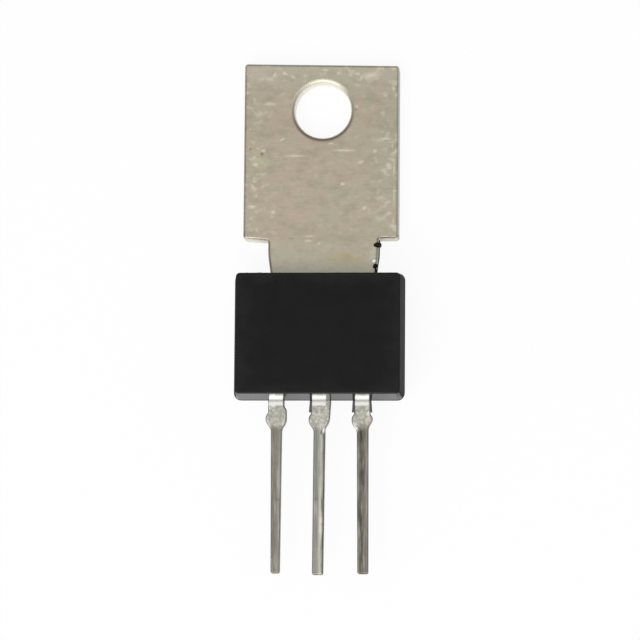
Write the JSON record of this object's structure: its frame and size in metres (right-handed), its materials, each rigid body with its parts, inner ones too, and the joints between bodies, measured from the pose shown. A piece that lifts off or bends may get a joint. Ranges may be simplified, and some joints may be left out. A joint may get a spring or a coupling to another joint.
{
  "type": "power transistor",
  "caption": "Power transistor in a black moulded body with a thick drilled mounting tab at one end and flat leads in line at the other.",
  "frame": {"origin": "axis of the mounting hole, in the back plane that the tab and the body share", "axes": "+X across the tab, +Y from the leads to the tab's free end, +Z out of the front face"},
  "size_m": [0.01, 0.0308, 0.0046],
  "materials": {
    "tinned_copper": "satin tin plate on copper alloy",
    "lead_tin": "satin tin plate on copper alloy",
    "silicon": "polished",
    "solder": "dull",
    "bond_wire": "satin",
    "black_epoxy": "fine satin moulding"
  },
  "bodies": {
    "root": {"collector_frame": "tinned_copper", "emitter_lead": "lead_tin", "base_lead": "lead_tin", "silicon_die": "silicon", "die_solder": "solder", "emitter_wire": "bond_wire", "base_wire": "bond_wire", "moulded_body": "black_epoxy"}
  },
  "joints": []
}
